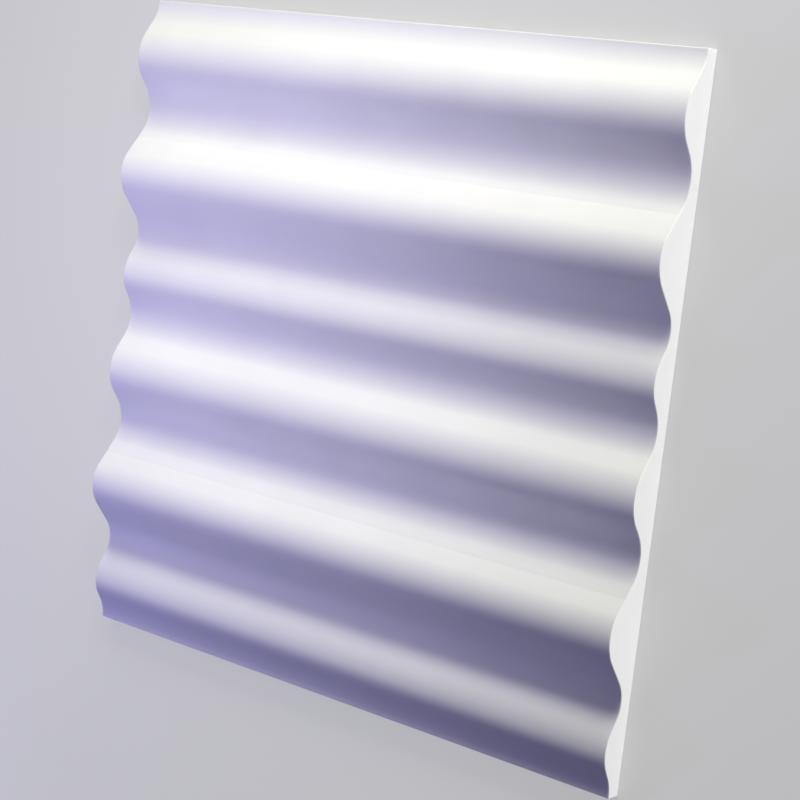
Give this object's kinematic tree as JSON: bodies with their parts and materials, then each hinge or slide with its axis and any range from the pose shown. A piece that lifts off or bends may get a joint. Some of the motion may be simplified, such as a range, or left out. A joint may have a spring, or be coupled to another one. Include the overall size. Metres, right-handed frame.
{
  "type": "3d wall panel tile",
  "caption": "Square cast gypsum wall tile with a flat back to glue to a wall and a face of smooth straight rounded ridges that carry on over butted tiles.",
  "frame": {"origin": "centre of the flat back, which lies on the floor", "axes": "+Z out of the wavy face, away from the wall; +X along the ridges; +Y across them, towards the edge that is the upper one in the picture"},
  "size_m": [0.6, 0.6, 0.0418],
  "materials": {
    "gypsum": "matte"
  },
  "bodies": {
    "root": {"wave_panel": "gypsum"}
  },
  "joints": []
}
